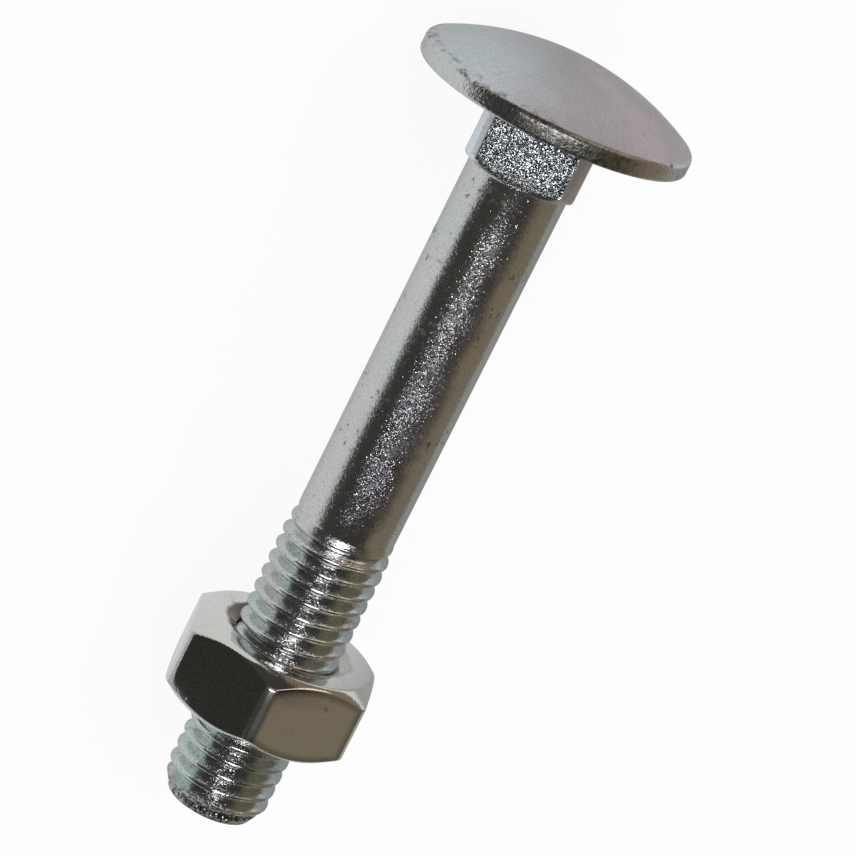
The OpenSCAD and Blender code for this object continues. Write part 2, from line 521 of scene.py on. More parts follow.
def nut_thread(n, b):
    """The nut's own thread, which runs out in the countersinks at both mouths."""
    low, high = n.nut_place + n.sink_edge, n.nut_place + n.nut_height - n.sink_edge
    first = crest_height(b, low)
    turns = math.ceil((high - first) / b.pitch) + 1
    outline = ridge_outline(b, b.thread_width / 2 + n.thread_gap, first, n.tapped_width / 2)
    thread = screw_outline("tapping", outline, b.pitch, turns)
    mouth_r = n.sink_width / 2 - n.sink_edge / math.tan(n.sink_slope)

    def radius_at(r, z):
        depth = min(z - low, high - z)
        return max(r, mouth_r - depth / math.tan(n.sink_slope))

    shape_thread(thread, low, high, radius_at)
    return thread


def build_nut(n, b):
    """The whole nut as one closed skin, with its outer edges rounded."""
    low, high = n.nut_place, n.nut_place + n.nut_height
    sink_r = n.sink_width / 2
    mouth_r = sink_r - n.sink_edge / math.tan(n.sink_slope)
    mouth = [
        (mouth_r, n.sink_edge),
        (sink_r - n.sink_edge * 0.7, n.sink_edge * 0.3),
        (sink_r + n.sink_edge * 0.5, 0),
    ]
    round_reach = n.corner_width / 2
    outline = [(r, low + z) for r, z in mouth]
    outline += nut_section(n, round_reach)
    outline += [(r, high - z) for r, z in reversed(mouth)]
    shell = spin_outline("shell", outline)
    press_rings(
        shell, lambda reach: nut_section(n, reach), round_reach,
        lambda number: hexagon_point(n, number),
    )
    bpy.ops.object.mode_set(mode="EDIT")
    bpy.ops.mesh.select_all(action="DESELECT")
    bpy.ops.mesh.edges_select_sharp(sharpness=math.radians(20))
    bpy.ops.mesh.bevel(offset=n.edge_round, segments=3, affect="EDGES")
    bpy.ops.object.mode_set(mode="OBJECT")
    return join_skins("nut_skin", shell, nut_thread(n, b))


def link_or_set(tree, node, key, value):
    """Puts a link or a plain value on one input of a node."""
    if isinstance(value, bpy.types.NodeSocket):
        tree.links.new(value, node.inputs[key])
    else:
        node.inputs[key].default_value = value


def feed(tree, node, inputs):
    """Puts links or plain values on several inputs of a node, which are named or numbered."""
    for key, value in inputs.items():
        link_or_set(tree, node, key, value)


def add_node(tree, kind, inputs=None, **settings):
    node = tree.nodes.new(kind)
    for key, value in settings.items():
        setattr(node, key, value)
    feed(tree, node, inputs or {})
    return node


def maths(tree, operation, a, b=0.0, clamp=False):
    node = add_node(tree, "ShaderNodeMath", {0: a, 1: b}, operation=operation, use_clamp=clamp)
    return node.outputs[0]


def times(tree, first, *others):
    """The product of values and masks."""
    for other in others:
        first = maths(tree, "MULTIPLY", first, other)
    return first


def plus(tree, first, *others):
    """The sum of values and masks."""
    for other in others:
        first = maths(tree, "ADD", first, other)
    return first


def outside(tree, mask):
    """A mask of all that another mask leaves out."""
    return maths(tree, "SUBTRACT", 1.0, mask)


def weighted(tree, everywhere, masks, amounts, clamp=False):
    """A value that each named mask changes by its own amount."""
    total = everywhere
    for name, amount in amounts.items():
        total = plus(tree, total, times(tree, masks[name], amount))
    return maths(tree, "ADD", total, 0.0, clamp)


def vector_maths(tree, operation, a, b):
    node = add_node(tree, "ShaderNodeVectorMath", {0: a, 1: b}, operation=operation)
    return node.outputs[0]


def distance(tree, a, b):
    """Length of the line from nought to the point a, b."""
    point = add_node(tree, "ShaderNodeCombineXYZ", {"X": a, "Y": b, "Z": 0.0}).outputs[0]
    node = add_node(tree, "ShaderNodeVectorMath", {0: point}, operation="LENGTH")
    return node.outputs["Value"]


def side_distance(tree, own, degrees):
    """How far a place lies from the axis towards one side, an angle from the piece's own X."""
    turn = math.radians(degrees)
    return plus(
        tree, times(tree, own["X"], math.cos(turn)), times(tree, own["Y"], math.sin(turn))
    )


def noise(tree, vector, per_metre, detail=2.0, roughness=0.5):
    inputs = {"Vector": vector, "Scale": per_metre, "Detail": detail, "Roughness": roughness}
    return add_node(tree, "ShaderNodeTexNoise", inputs).outputs["Fac"]


def step_mask(tree, value, start, end):
    """A mask that goes smoothly from 0 where the value is start to 1 where it is end."""
    inputs = {"Value": value, "From Min": start, "From Max": end}
    node = add_node(tree, "ShaderNodeMapRange", inputs, interpolation_type="SMOOTHSTEP")
    return node.outputs["Result"]


def mix_colour(tree, mask, a, b):
    inputs = {"Factor": mask, "A": a, "B": b}
    node = tree.nodes.new("ShaderNodeMix")
    node.data_type = "RGBA"
    for key, value in inputs.items():
        wanted = "VALUE" if key == "Factor" else "RGBA"
        socket = next(s for s in node.inputs if s.name == key and s.type == wanted)
        if isinstance(value, bpy.types.NodeSocket):
            tree.links.new(value, socket)
        else:
            socket.default_value = value
    return next(s for s in node.outputs if s.type == "RGBA")


def rgba(values):
    return (*values, 1.0)


def paint(tree, plate, layers):
    """Lays plain colours over a plate, each one where its own mask is."""
    for mask, layer in layers:
        plate = mix_colour(tree, mask, plate, rgba(layer))
    return plate


def new_group(name, inputs, outputs):
    """A shader node group with named inputs and outputs."""
    tree = bpy.data.node_groups.new(name, "ShaderNodeTree")
    for socket_name, kind, default in inputs:
        socket = tree.interface.new_socket(socket_name, in_out="INPUT", socket_type=kind)
        if default is not None:
            socket.default_value = default
    for socket_name, kind in outputs:
        tree.interface.new_socket(socket_name, in_out="OUTPUT", socket_type=kind)
    return tree, tree.nodes.new("NodeGroupInput"), tree.nodes.new("NodeGroupOutput")


FLOAT, VECTOR, COLOUR = "NodeSocketFloat", "NodeSocketVector", "NodeSocketColor"


def make_pits_group():
    """Fine pits, dense in some patches and sparse in others."""
    tree, given, out = new_group(
        "plate_pits",
        [("Vector", VECTOR, None), ("Pits per Metre", FLOAT, 4000.0),
         ("Patches per Metre", FLOAT, 300.0), ("Cover", FLOAT, 0.5)],
        [("Height", FLOAT)],
    )
    vector = given.outputs["Vector"]
    fine = noise(tree, vector, given.outputs["Pits per Metre"], detail=2.0, roughness=0.55)
    patches = noise(tree, vector, given.outputs["Patches per Metre"], detail=3.0, roughness=0.6)
    edge = outside(tree, given.outputs["Cover"])
    soft = 0.15
    mask = step_mask(tree, patches, plus(tree, edge, -soft), plus(tree, edge, soft))
    feed(tree, out, {"Height": times(tree, plus(tree, fine, -0.5), mask)})
    return tree


def make_lines_group():
    """Fine lines round the piece's own axis, as rolling and turning leave them."""
    tree, given, out = new_group(
        "turned_lines",
        [("Vector", VECTOR, None), ("Lines per Metre", FLOAT, 9000.0)],
        [("Height", FLOAT)],
    )
    stretch = add_node(tree, "ShaderNodeCombineXYZ", {"X": 0.04, "Y": 0.04, "Z": 1.0})
    stretched = vector_maths(tree, "MULTIPLY", given.outputs["Vector"], stretch.outputs[0])
    lines = noise(tree, stretched, given.outputs["Lines per Metre"], detail=3.0, roughness=0.6)
    feed(tree, out, {"Height": plus(tree, lines, -0.5)})
    return tree


def make_crystals_group():
    """A random tilt and shade for each crystal of the plate.

    With Steep at 0 most crystals tilt slightly and a few a lot, and at 1 all of them tilt a lot.
    """
    tree, given, out = new_group(
        "plate_crystals",
        [("Vector", VECTOR, None), ("Crystals per Metre", FLOAT, 6000.0), ("Tilt", FLOAT, 0.3),
         ("Steep", FLOAT, 0.5)],
        [("Tilt", VECTOR), ("Shade", FLOAT)],
    )
    cells = add_node(tree, "ShaderNodeTexVoronoi", {
        "Vector": given.outputs["Vector"], "Scale": given.outputs["Crystals per Metre"],
    })
    centred = vector_maths(tree, "SUBTRACT", cells.outputs["Color"], (0.5, 0.5, 0.5))
    size = add_node(tree, "ShaderNodeVectorMath", {0: centred}, operation="LENGTH").outputs["Value"]
    few = times(tree, maths(tree, "POWER", size, 3.0), 4.0)
    mixed = add_node(tree, "ShaderNodeMix", {0: given.outputs["Steep"]})
    tree.links.new(few, mixed.inputs["A"])
    mixed.inputs["B"].default_value = 1.0
    amount = times(tree, mixed.outputs["Result"], given.outputs["Tilt"])
    scaled = add_node(
        tree, "ShaderNodeVectorMath", {0: centred, "Scale": amount}, operation="SCALE"
    )
    shades = add_node(tree, "ShaderNodeSeparateColor", {"Color": cells.outputs["Color"]})
    feed(tree, out, {"Tilt": scaled.outputs[0], "Shade": shades.outputs["Red"]})
    return tree


def make_tint_group():
    """Drifts a plate colour towards a cool tint and a warm one."""
    tree, given, out = new_group(
        "plate_tint",
        [("Vector", VECTOR, None), ("Color", COLOUR, None), ("Cool", COLOUR, None),
         ("Warm", COLOUR, None), ("Drifts per Metre", FLOAT, 90.0), ("Lean", FLOAT, 0.0),
         ("Amount", FLOAT, 0.5)],
        [("Color", COLOUR)],
    )
    given = given.outputs
    drift = noise(tree, given["Vector"], given["Drifts per Metre"], detail=3.0, roughness=0.55)
    drift = plus(tree, drift, given["Lean"])
    cool = times(tree, step_mask(tree, drift, 0.48, 0.25), given["Amount"])
    warm = times(tree, step_mask(tree, drift, 0.52, 0.75), given["Amount"])
    tinted = mix_colour(tree, cool, given["Color"], given["Cool"])
    feed(tree, out, {"Color": mix_colour(tree, warm, tinted, given["Warm"])})
    return tree


def make_stain_group():
    """Small dull spots, gathered in clusters."""
    tree, given, out = new_group(
        "dull_spots",
        [("Vector", VECTOR, None), ("Spots per Metre", FLOAT, 1600.0), ("Cover", FLOAT, 0.35)],
        [("Mask", FLOAT)],
    )
    given = given.outputs
    spots = noise(tree, given["Vector"], given["Spots per Metre"], detail=3.0, roughness=0.65)
    clusters = noise(tree, given["Vector"], times(tree, given["Spots per Metre"], 0.16))
    clustered = plus(tree, spots, times(tree, plus(tree, clusters, -0.5), 0.8))
    edge = outside(tree, given["Cover"])
    feed(tree, out, {"Mask": step_mask(tree, clustered, edge, plus(tree, edge, 0.08))})
    return tree


def use_group(tree, group, inputs):
    node = tree.nodes.new("ShaderNodeGroup")
    node.node_tree = group
    feed(tree, node, inputs)
    return node


def own_coordinates(tree):
    """Object coordinates turned upright, so that Z runs along the piece from the head."""
    place = tree.nodes.new("ShaderNodeTexCoord").outputs["Object"]
    turned = add_node(tree, "ShaderNodeMapping", {"Vector": place, "Rotation": (0, -LAY_TURN, 0)})
    vector = turned.outputs["Vector"]
    split = add_node(tree, "ShaderNodeSeparateXYZ", {"Vector": vector})
    return vector, split.outputs


def new_material(name):
    material = bpy.data.materials.new(name)
    material.use_nodes = True
    return material, material.node_tree, material.node_tree.nodes["Principled BSDF"]


def relief(tree, shader, height, tilts):
    """Feeds a height in metres and the tilts of the crystals to the shader's normal."""
    normal = tree.nodes.new("ShaderNodeNewGeometry").outputs["Normal"]
    for tilt in tilts:
        normal = vector_maths(tree, "ADD", normal, tilt)
    normal = add_node(tree, "ShaderNodeVectorMath", {0: normal}, operation="NORMALIZE").outputs[0]
    bump = add_node(tree, "ShaderNodeBump", {
        "Height": height, "Strength": 1.0, "Distance": 1.0, "Normal": normal,
    })
    tree.links.new(bump.outputs["Normal"], shader.inputs["Normal"])


# How the bolt's plate changes from place to place: the amount that each mask adds
BOLT_CRYSTALS = {"neck": -2500.0, "thread": -4500.0}
BOLT_STEEP = {"coarse_neck": 1.0, "coarse_shank": 1.0, "coarse_rim": 1.0, "coarse_thread": 0.8}
BOLT_TILT = {
    "shank": 0.14, "coarse_neck": 0.68, "coarse_shank": 0.52, "coarse_rim": 0.2,
    "coarse_thread": 0.45, "end": 0.35,
}
# Amounts of dull grey: grain, mottling and crystal shades, and in rim_line a painted dark reflection
# along the dome's edge
BOLT_GRAIN_AND_SHADE = {
    "fine": 0.22, "fine_thread": 0.08, "mottled_rim": 0.85, "mottled_end": 0.95, "end": 0.25,
    "rim_line": 0.6, "neck_outline": 0.6, "shade": 0.88,
}
BOLT_ROUGHNESS = {
    "clouds": 0.12, "dome": 0.12, "coarse_neck": 0.11, "coarse_shank": 0.17, "dark_rim": 0.19,
    "coarse_thread": -0.09, "dull": 0.4,
}
# The neck's two corners are made partly matt for their painted reflections
BOLT_METAL = {"pale_corner": -0.65, "brown_corner": -0.6}
# The same for the nut
# More dark speckles on the dark flat add to its painted shade
NUT_SPECKLES = {"dark_flat": 0.4, "brown_flat": 0.1}
NUT_ROUGHNESS = {"clouds": 0.06, "rubbed_corner": 0.22}
# The mouths are made partly matt for their brown film, which is partly painted shade
NUT_METAL = {"mouth": -0.6}
# Sides of the pieces, in degrees from a piece's own X towards its own Y
SHANK_STRIPE = 200
THREAD_STRIPE = 214
PALE_DOME_SIDE = -71
PINK_DOME_SIDE = 154
DARK_FLAT = 240
BROWN_FLAT = 180
RUBBED_CORNER = 210
LESS_FILM_AND_SHADE_SIDE = 124


def bolt_parts(tree, b, own):
    """Masks of the bolt's parts, from the dome to the end of the thread."""
    along = own["Z"]
    thread_start = b.bolt_length - b.thread_length - b.runout_length
    under_dome = step_mask(tree, along, -b.rim_height - 0.25 * MM, -b.rim_height + 0.15 * MM)
    past_head = step_mask(tree, along, -0.05 * MM, 0.05 * MM)
    past_neck = step_mask(tree, along, b.neck_length - 0.3 * MM, b.neck_length + 0.4 * MM)
    thread = step_mask(tree, along, thread_start, thread_start + b.runout_length)
    rim = times(tree, under_dome, outside(tree, past_head))
    dark_rim = times(
        tree, rim, step_mask(tree, own["Y"], -11 * MM, -7 * MM),
        step_mask(tree, own["Y"], 4 * MM, -1 * MM),
    )
    return {
        "dome": outside(tree, under_dome),
        "rim": rim,
        "dark_rim": dark_rim,
        "neck": times(tree, past_head, outside(tree, past_neck)),
        "shank": times(tree, past_neck, outside(tree, thread)),
        "thread": thread,
        "end": step_mask(tree, along, b.bolt_length - 1.9 * MM, b.bolt_length - 1.1 * MM),
    }


def coarse_places(tree, b, vector, own, masks):
    """Masks of the coarse plate: stripes along the shank and the thread, and patches of the rim."""
    # Each stripe begins and is full at its own share of the shank's radius, on its own side
    shank_r = b.shank_width / 2
    crest_r = b.thread_width / 2
    patches = step_mask(tree, noise(tree, vector, per_metre=170.0, detail=3.0), 0.32, 0.60)
    upper = side_distance(tree, own, SHANK_STRIPE)
    stripe = times(tree, step_mask(tree, upper, 0.82 * shank_r, 0.985 * shank_r), 0.85)
    near_neck = step_mask(tree, own["Z"], b.neck_length + 20 * MM, b.neck_length + 2 * MM)
    weaker = outside(tree, times(tree, near_neck, 0.7))
    ridges = side_distance(tree, own, THREAD_STRIPE)
    ridges = step_mask(tree, ridges, 0.78 * shank_r, 0.97 * shank_r)
    ridges = maths(tree, "MAXIMUM", ridges, masks["end"])
    out_r = distance(tree, own["X"], own["Y"])
    off_crest = step_mask(tree, out_r, crest_r - 0.02 * MM, crest_r - 0.16 * MM)
    off_crest = plus(tree, times(tree, off_crest, 0.8), 0.2)
    return {
        "coarse_shank": times(tree, masks["shank"], stripe, patches, weaker),
        "coarse_thread": times(tree, masks["thread"], ridges, off_crest),
        "coarse_rim": times(tree, masks["rim"], patches, 0.8),
    }


def neck_places(tree, b, own, masks):
    """Masks of the neck: its upper flat is coarse up to a rounded border, and two corners carry painted
    reflections, brown on one and pale on the other.
    """
    turn = math.degrees(b.neck_turn)
    above = side_distance(tree, own, 180 + turn)
    aside = side_distance(tree, own, 90 + turn)
    half_flat = b.neck_width / 2 - b.neck_corner
    border = 1.3 * MM
    past_side = plus(tree, maths(tree, "ABSOLUTE", aside), border - half_flat)
    past_end = plus(tree, own["Z"], border + 0.25 * MM - b.neck_length)
    corner = distance(
        tree, maths(tree, "MAXIMUM", past_side, 0.0), maths(tree, "MAXIMUM", past_end, 0.0)
    )
    coarse = times(
        tree, step_mask(tree, above, 0.0, b.neck_width / 4),
        step_mask(tree, corner, border + 0.15 * MM, border - 0.1 * MM), masks["neck"],
    )
    outline = step_mask(tree, corner, border - 0.55 * MM, border - 0.1 * MM)
    # Painted reflections: one corner gets a brown colour, and the other is made partly matt so that its
    # pale colour shows
    brown = step_mask(tree, aside, half_flat - 0.05 * MM, half_flat + 0.25 * MM)
    pale = step_mask(tree, aside, 0.05 * MM - half_flat, -0.25 * MM - half_flat)
    near_end = step_mask(tree, own["Z"], b.neck_length - 1.7 * MM, b.neck_length - 0.9 * MM)
    return {
        "coarse_neck": coarse,
        "neck_outline": times(tree, coarse, outline),
        "brown_corner": times(tree, brown, masks["neck"], 0.8),
        "pale_corner": times(tree, pale, masks["neck"]),
        "neck_end": times(tree, near_end, masks["neck"]),
    }


def grain_places(tree, b, vector, own, masks, groups):
    """Masks of the fine grain, of the mottling on the rim and the end, of a painted dark line along the
    dome's edge, and of the dull spots.
    """
    fine = step_mask(tree, noise(tree, vector, per_metre=5200.0, detail=3.0, roughness=0.6), 0.58, 0.36)
    mottling = noise(tree, vector, per_metre=2600.0, detail=4.0, roughness=0.65)
    mottling = step_mask(tree, mottling, 0.42, 0.58)
    # Painted dark reflection: a thin dark line along the dome's edge, on the side towards -Y
    off_edge = maths(tree, "ABSOLUTE", plus(tree, own["Z"], b.rim_height + 0.15 * MM))
    rim_line = times(
        tree, step_mask(tree, off_edge, 0.4 * MM, 0.1 * MM),
        step_mask(tree, own["Y"], -3 * MM, -7 * MM),
        step_mask(tree, noise(tree, vector, per_metre=1100.0, detail=4.0, roughness=0.65), 0.46, 0.60),
    )
    spots = use_group(tree, groups["spots"], {
        "Vector": vector, "Spots per Metre": 1500.0, "Cover": 0.36,
    })
    spotted = weighted(tree, 1.0, masks, {"dome": -0.8, "thread": -0.55})
    return {
        "fine": fine,
        "fine_thread": times(tree, fine, masks["thread"], outside(tree, masks["coarse_thread"])),
        "mottled_rim": times(tree, mottling, masks["dark_rim"]),
        "mottled_end": times(tree, mottling, masks["end"]),
        "rim_line": rim_line,
        "dull": times(tree, spots.outputs["Mask"], spotted, 0.7),
        "clouds": noise(tree, vector, per_metre=500.0, detail=3.0),
    }


def bolt_height(tree, vector, masks, groups):
    """Height in metres of the plate's pits and of its turned lines."""
    coarse = use_group(tree, groups["pits"], {
        "Vector": vector, "Pits per Metre": 3800.0, "Patches per Metre": 420.0, "Cover": 0.95,
    })
    sparse = use_group(tree, groups["pits"], {
        "Vector": vector, "Pits per Metre": 4500.0, "Patches per Metre": 260.0, "Cover": 0.55,
    })
    lines = use_group(tree, groups["lines"], {"Vector": vector, "Lines per Metre": 7000.0})
    height = 0.0
    for texture, everywhere, depths in (
        (coarse, 0.0, {"neck": 0.02 * MM, "rim": 0.04 * MM}),
        (sparse, 0.024 * MM, {"dome": -0.022 * MM}),
        (lines, 0.0, {"thread": 0.02 * MM, "neck_end": 0.10 * MM}),
    ):
        depth = weighted(tree, everywhere, masks, depths)
        height = plus(tree, times(tree, texture.outputs["Height"], depth), height)
    return height


def bolt_crystals(tree, vector, masks, groups):
    """The glittering crystals of the coarse plate, and the slight satin grain of the dome."""
    glitter = use_group(tree, groups["crystals"], {
        "Vector": vector, "Crystals per Metre": weighted(tree, 17000.0, masks, BOLT_CRYSTALS),
        "Steep": weighted(tree, 0.0, masks, BOLT_STEEP, clamp=True),
        "Tilt": weighted(tree, 0.0, masks, BOLT_TILT),
    })
    satin = use_group(tree, groups["crystals"], {
        "Vector": vector, "Crystals per Metre": 9000.0, "Steep": 1.0,
        "Tilt": times(tree, masks["dome"], 0.05),
    })
    return glitter.outputs, satin.outputs


def crystal_shade(tree, vector, masks, shade):
    """How dull each crystal of the coarse neck and shank is, drifting over the plate."""
    drifts = plus(tree, times(tree, noise(tree, vector, per_metre=900.0, detail=3.0), 1.5), 0.25)
    coarse = plus(tree, masks["coarse_neck"], masks["coarse_shank"])
    return times(tree, shade, coarse, drifts)


def bolt_colour(tree, c, b, vector, own, masks, groups):
    """The plate's colour: part by part with painted reflections, tinted, with a partly painted highlight
    on the thread, and then dulled by its grain, its spots and painted shade.
    """
    # Painted reflection: the dome is paler on its side towards the pale floor
    pale_reflection_side = step_mask(tree, side_distance(tree, own, PALE_DOME_SIDE), -0.5 * MM, 10 * MM)
    pinker = step_mask(tree, side_distance(tree, own, PINK_DOME_SIDE), 0.5 * MM, 8.5 * MM)
    crest_r = b.thread_width / 2
    out_r = distance(tree, own["X"], own["Y"])
    valley = step_mask(tree, out_r, crest_r - 0.12 * MM, crest_r - 0.55 * MM)
    satin = paint(tree, rgba(c.dome), (
        (pale_reflection_side, c.dome_pale_reflection),
        (times(tree, pinker, 0.8), c.dome_warm),
    ))
    plate = mix_colour(tree, masks["dome"], rgba(c.shank), satin)
    plate = paint(tree, plate, (
        (masks["neck"], c.neck),
        (masks["dark_rim"], c.rim),
        (masks["thread"], c.thread),
        (times(tree, valley, masks["thread"], 0.75), c.valley),
    ))
    tint = use_group(tree, groups["tint"], {
        "Vector": vector, "Color": plate, "Cool": rgba(c.cool), "Warm": rgba(c.warm),
        "Drifts per Metre": 110.0, "Lean": times(tree, own["Y"], 6.0, masks["dome"]),
        "Amount": 0.5,
    })
    return paint(tree, tint.outputs["Color"], (
        (masks["coarse_shank"], c.streak),
        # Painted reflection of the brown surround on one corner of the neck
        (masks["brown_corner"], c.neck_brown_reflection),
        # Partly painted highlight: the thread's stripe towards the lamp gets the brightest plate
        (masks["coarse_thread"], c.glint),
        (weighted(tree, 0.0, masks, BOLT_GRAIN_AND_SHADE, clamp=True), c.stain_and_shade),
        (masks["dull"], c.stain_and_shade),
    ))


def bolt_finish(c, b, groups):
    """Zinc plate of the bolt: satin dome, pitted neck, speckled shank and tinted thread."""
    material, tree, shader = new_material("zinc_plated_bolt")
    vector, own = own_coordinates(tree)
    masks = bolt_parts(tree, b, own)
    masks.update(coarse_places(tree, b, vector, own, masks))
    masks.update(neck_places(tree, b, own, masks))
    masks.update(grain_places(tree, b, vector, own, masks, groups))
    glitter, satin = bolt_crystals(tree, vector, masks, groups)
    masks["shade"] = crystal_shade(tree, vector, masks, glitter["Shade"])
    height = bolt_height(tree, vector, masks, groups)
    relief(tree, shader, height, [glitter["Tilt"], satin["Tilt"]])
    feed(tree, shader, {
        "Base Color": bolt_colour(tree, c, b, vector, own, masks, groups),
        "Roughness": weighted(tree, 0.12, masks, BOLT_ROUGHNESS, clamp=True),
        "Metallic": weighted(tree, 1.0, masks, BOLT_METAL),
        "Specular Tint": rgba(c.edge),
    })
    return material


def nut_places(tree, n, vector, own):
    """Masks of the nut's mouths, of two of its flats, of a rubbed corner and of its grain."""
    out_r = distance(tree, own["X"], own["Y"])
    sink_r = n.sink_width / 2
    ragged = times(tree, noise(tree, vector, per_metre=450.0, detail=3.0), 1.1 * MM)
    mouth = maths(tree, "SUBTRACT", out_r, ragged)
    mouth = step_mask(tree, mouth, sink_r + 0.05 * MM, sink_r - 0.45 * MM)
    # The mouths' brown film is partly painted shade, and weaker on one side
    less_film_and_shade = side_distance(tree, own, LESS_FILM_AND_SHADE_SIDE)
    less_film_and_shade = times(tree, step_mask(tree, less_film_and_shade, 2.5 * MM, 5.0 * MM), 0.65)
    flat_r = n.nut_width / 2
    dark_flat, brown_flat = (
        step_mask(tree, side_distance(tree, own, side), flat_r - 0.14 * MM, flat_r - 0.02 * MM)
        for side in (DARK_FLAT, BROWN_FLAT)
    )
    # How far a place on a flat lies inside the curved borders at the flat's two ends
    rise = plus(tree, out_r, -n.face_width / 2)
    rise = times(tree, rise, math.tan(n.chamfer_slope))
    off_middle = plus(tree, own["Z"], -n.nut_place - n.nut_height / 2)
    off_middle = maths(tree, "ABSOLUTE", off_middle)
    inside = maths(tree, "SUBTRACT", n.nut_height / 2, plus(tree, off_middle, rise))
    sideways = maths(tree, "SUBTRACT", 4.6 * MM, own["Y"])
    inside = maths(tree, "MINIMUM", inside, sideways)
    band = step_mask(tree, inside, 0.85 * MM, 0.1 * MM)
    corner_r = n.corner_width / 2
    rubbed = side_distance(tree, own, RUBBED_CORNER)
    fine = noise(tree, vector, per_metre=8000.0, detail=4.0, roughness=0.65)
    return {
        "mouth": times(tree, mouth, outside(tree, less_film_and_shade)),
        "dark_flat": dark_flat,
        "brown_flat": brown_flat,
        "brown_band": times(tree, band, brown_flat, 0.5),
        "rubbed_corner": step_mask(tree, rubbed, corner_r - 0.3 * MM, corner_r - 0.08 * MM),
        "fine": step_mask(tree, fine, 0.62, 0.36),
        "clouds": noise(tree, vector, per_metre=700.0, detail=3.0),
    }


def nut_colour(tree, c, vector, masks, groups):
    """The nut's plate with a brown film in its mouths that is partly painted shade, and one flat
    darkened as painted shade.
    """
    tint = use_group(tree, groups["tint"], {
        "Vector": vector, "Color": rgba(c.nut), "Cool": rgba(c.cool), "Warm": rgba(c.warm),
        "Drifts per Metre": 140.0, "Lean": 0.0, "Amount": 0.35,
    })
    spots = use_group(tree, groups["spots"], {
        "Vector": vector, "Spots per Metre": 2900.0, "Cover": 0.27,
    })
    speckles = weighted(tree, 0.16, masks, NUT_SPECKLES)
    return paint(tree, tint.outputs["Color"], (
        # Brown film in the mouths, partly painted shade of the thread
        (masks["mouth"], c.film),
        # Painted shade: one flat of the nut is darkened with dull grey
        (times(tree, masks["dark_flat"], 0.3), c.stain_and_shade),
        (masks["brown_band"], c.film),
        (times(tree, masks["fine"], speckles), c.stain_and_shade),
        (times(tree, spots.outputs["Mask"], 0.6), c.stain_and_shade),
    ))


def nut_finish(c, n, groups):
    """Zinc plate of the nut: smooth flats with a fine grain and small pores."""
    material, tree, shader = new_material("zinc_plated_nut")
    vector, own = own_coordinates(tree)
    masks = nut_places(tree, n, vector, own)
    feed(tree, shader, {
        "Base Color": nut_colour(tree, c, vector, masks, groups),
        "Roughness": weighted(tree, 0.05, masks, NUT_ROUGHNESS),
        "Metallic": weighted(tree, 1.0, masks, NUT_METAL),
    })
    pores = use_group(tree, groups["pits"], {
        "Vector": vector, "Pits per Metre": 5200.0, "Patches per Metre": 500.0, "Cover": 0.6,
    })
    crystals = use_group(tree, groups["crystals"], {
        "Vector": vector, "Crystals per Metre": 5200.0, "Steep": 0.0, "Tilt": 0.015,
    })
    height = times(tree, pores.outputs["Height"], 0.004 * MM)
    relief(tree, shader, height, [crystals.outputs["Tilt"]])
    return material


def shared_groups():
    """The effects that both finishes use, built once."""
    builders = {
        "plate_pits": make_pits_group, "turned_lines": make_lines_group,
        "plate_tint": make_tint_group, "dull_spots": make_stain_group,
        "plate_crystals": make_crystals_group,
    }
    trees = {
        name: bpy.data.node_groups.get(name) or build() for name, build in builders.items()
    }
    return {
        "pits": trees["plate_pits"], "lines": trees["turned_lines"],
        "tint": trees["plate_tint"], "spots": trees["dull_spots"],
        "crystals": trees["plate_crystals"],
    }


def dress(piece, material, body, node):
    """Gives a finished piece its material and its body, and hides the CAD node that it stands for."""
    piece.data.materials.clear()
    piece.data.materials.append(material)
    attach(piece, body)
    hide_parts(node)


# Size of the floor, and the least of its glow that the metal sees
FLOOR_RADIUS = 6
FAINT_GLOW = 0.04


def floor_material(stage):
    """Pale floor, nearly plain white to the eye, with its shadows kept.

    The metal sees a dimmer glow instead, with painted light: a painted shadow of the bolt darkens it
    past the bolt, and it fades as a painted lit patch to faint far to the -Y side.
    """
    material, tree, shader = new_material("pale_floor")
    tree.nodes.remove(shader)
    out = tree.nodes["Material Output"]
    matt = add_node(tree, "ShaderNodeBsdfDiffuse", {"Color": rgba(stage.floor_colour)})
    white = add_node(tree, "ShaderNodeEmission", {"Color": (1, 1, 1, 1), "Strength": 1.0})
    light = tree.nodes.new("ShaderNodeLightPath").outputs
    seen = maths(tree, "MAXIMUM", light["Is Camera Ray"], light["Is Transmission Ray"])
    place = tree.nodes.new("ShaderNodeTexCoord").outputs["Object"]
    split = add_node(tree, "ShaderNodeSeparateXYZ", {"Vector": place}).outputs
    # Painted shadow of the bolt on the floor past it, as the metal sees it
    past = times(
        tree, step_mask(tree, split["Y"], 4 * MM, 24 * MM),
        step_mask(tree, split["X"], -2 * MM, 6 * MM),
    )
    glow = outside(tree, times(tree, past, 1 - stage.painted_shadow_share))
    # Painted lit patch: the glow that the metal sees fades out far to the -Y side
    near = step_mask(tree, split["Y"], -125 * MM, -90 * MM)
    glow = times(tree, glow, near, stage.near_floor)
    glow = maths(tree, "MAXIMUM", glow, FAINT_GLOW)
    loss = times(tree, outside(tree, glow), light["Is Glossy Ray"])
    feed(tree, white, {"Strength": outside(tree, loss)})
    seen = times(tree, seen, stage.whiteness)
    share_white = maths(tree, "MAXIMUM", seen, light["Is Glossy Ray"])
    both = add_node(
        tree, "ShaderNodeMixShader", {0: share_white, 1: matt.outputs[0], 2: white.outputs[0]}
    )
    feed(tree, out, {"Surface": both.outputs[0]})
    return material


